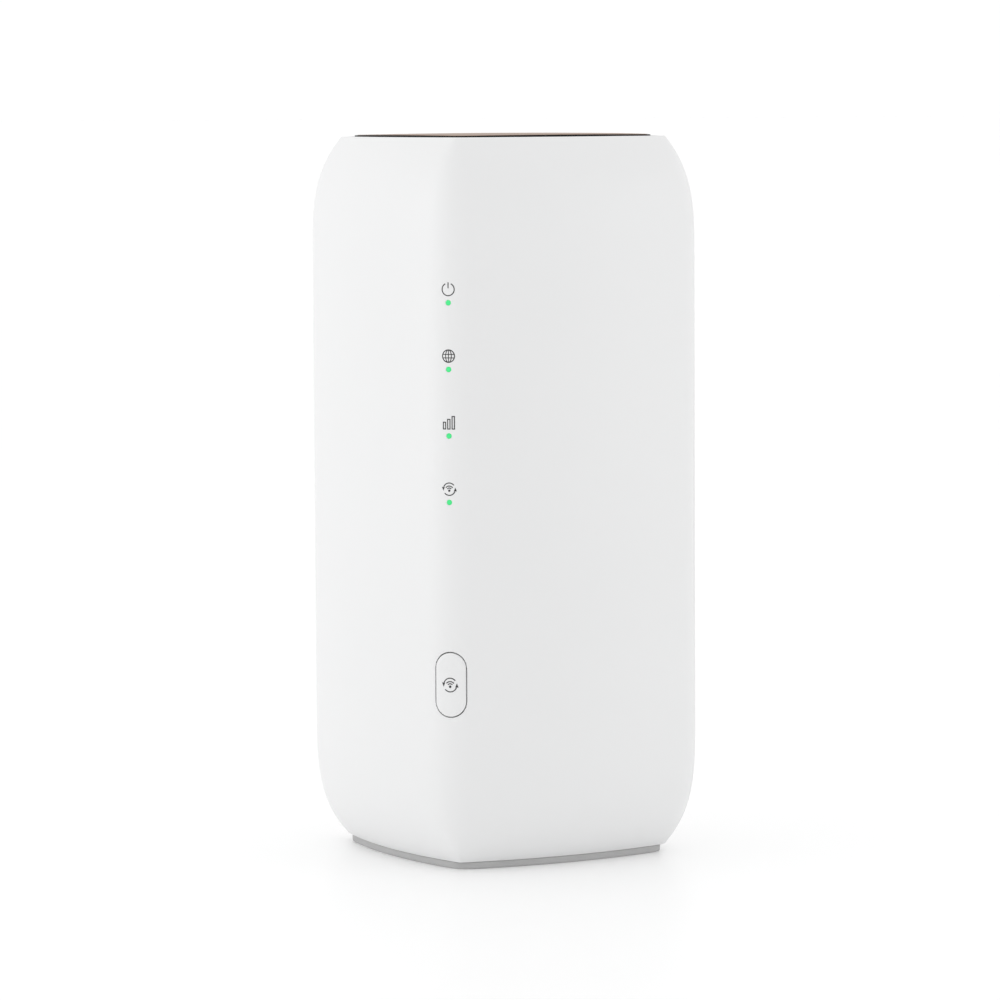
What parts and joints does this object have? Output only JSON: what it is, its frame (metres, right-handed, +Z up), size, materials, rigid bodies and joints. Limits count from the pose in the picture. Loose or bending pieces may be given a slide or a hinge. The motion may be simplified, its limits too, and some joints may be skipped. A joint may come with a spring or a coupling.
{
  "type": "mobile network wireless router",
  "caption": "Upright bowed-square mobile router in glossy white, with corner indicator lights, an oval pairing button, a copper cap and a recessed rear socket panel.",
  "frame": {"origin": "middle of the foot's underside, on the surface that the router stands on", "axes": "+Z up; -Y through the corner with the lights and the pairing button; +Y through the corner with the sockets"},
  "size_m": [0.1262, 0.1265, 0.231],
  "materials": {
    "antenna_laminate": "bare laminate",
    "cable_grey": "cable jacket",
    "shell_white": "glossy",
    "steel": "zinc plated",
    "copper": "bare copper",
    "gold": "gold plated",
    "base_white": "fine texture",
    "cap_copper": "metallic lacquer",
    "can_tin": "tinned",
    "foot_grey": "soft matt",
    "board_green": "solder mask",
    "chassis_grey": "matt",
    "led": "lit",
    "connector_black": "matt",
    "light_pipe": "clear, lit green",
    "heatsink_alu": "extruded",
    "chip_black": "moulded epoxy",
    "switch_key": "matt",
    "can_alu": "drawn can",
    "ferrite": "ferrite",
    "ribbon_white": "satin",
    "connector_beige": "matt",
    "panel_grey": "fine texture",
    "switch_black": "matt",
    "pad_blue": "soft matt",
    "cap_black": "glossy",
    "grille_black": "matt"
  },
  "bodies": {
    "router": {"antenna_board_front_left": "antenna_laminate", "antenna_board_front_right": "antenna_laminate", "antenna_board_rear_left": "antenna_laminate", "antenna_board_rear_right": "antenna_laminate", "antenna_coax_cables": "cable_grey", "antenna_cover_pin": "steel", "antenna_patterns": "copper", "antenna_socket_lower": "gold", "antenna_socket_nuts": "gold", "antenna_socket_upper": "gold", "base_plate": "base_white", "cap_inlay": "cap_copper", "card_socket": "can_tin", "case_screws": "steel", "coax_receptacles": "gold", "foot_ring": "foot_grey", "front_board": "board_green", "front_carrier": "chassis_grey", "front_shell": "shell_white", "indicator_leds": "led", "lan_contacts": "gold", "lan_lower_insert": "connector_black", "lan_shields": "can_tin", "lan_upper_insert": "connector_black", "light_guide": "light_pipe", "lower_tray": "chassis_grey", "main_board": "board_green", "main_heatsink": "heatsink_alu", "memory_and_radio_chips": "chip_black", "modem_board": "board_green", "modem_heatsink": "heatsink_alu", "modem_shield": "can_tin", "modem_socket": "connector_black", "modem_standoff": "gold", "network_transformers": "chip_black", "power_capacitors": "can_alu", "power_inductors": "ferrite", "power_socket": "connector_black", "power_socket_pin": "steel", "power_switch_body": "connector_black", "processor_chip": "chip_black", "processor_shield": "can_tin", "radio_shield": "can_tin", "rear_shell": "shell_white", "ribbon_cable": "ribbon_white", "ribbon_connectors": "connector_beige", "small_screws": "steel", "socket_coax_cables": "cable_grey", "socket_panel": "panel_grey", "tactile_switch_bodies": "switch_black", "thermal_pads": "pad_blue", "top_cap": "cap_black", "top_grille": "grille_black", "upper_tray": "chassis_grey"},
    "pairing_button": {"pairing_button": "shell_white"},
    "pairing_plunger": {"pairing_switch_plunger": "switch_key"},
    "power_button": {"power_button": "shell_white"},
    "reset_plunger": {"reset_switch_plunger": "switch_key"},
    "card_door": {"card_door": "base_white"},
    "antenna_cover": {"antenna_cover": "shell_white"}
  },
  "joints": [
    {"name": "pairing_button_press", "type": "slide", "parent": "router", "child": "pairing_button", "axis": [0, 1, 0], "range_m": [0, 0.0003], "stiffness_N_per_m": 4000},
    {"name": "pairing_plunger_press", "type": "slide", "parent": "router", "child": "pairing_plunger", "axis": [0, 1, 0], "range_m": [0, 0.0003]},
    {"name": "power_button_press", "type": "slide", "parent": "router", "child": "power_button", "axis": [0, -1, 0], "range_m": [0, 0.0018], "stiffness_N_per_m": 600},
    {"name": "reset_plunger_press", "type": "slide", "parent": "router", "child": "reset_plunger", "axis": [0, -1, 0], "range_m": [0, 0.00025], "stiffness_N_per_m": 4000},
    {"name": "card_door_hinge", "type": "hinge", "parent": "router", "child": "card_door", "pos_m": [-0.01, 0, 0.003], "axis": [0, 1, 0], "range_deg": [0, 95]},
    {"name": "antenna_cover_hinge", "type": "hinge", "parent": "router", "child": "antenna_cover", "pos_m": [0, 0.055, 0.1142], "axis": [-1, 0, 0], "range_deg": [0, 88]}
  ],
  "couplings": [
    {"joint": "pairing_plunger_press", "follows": "pairing_button_press", "ratio": 1}
  ]
}
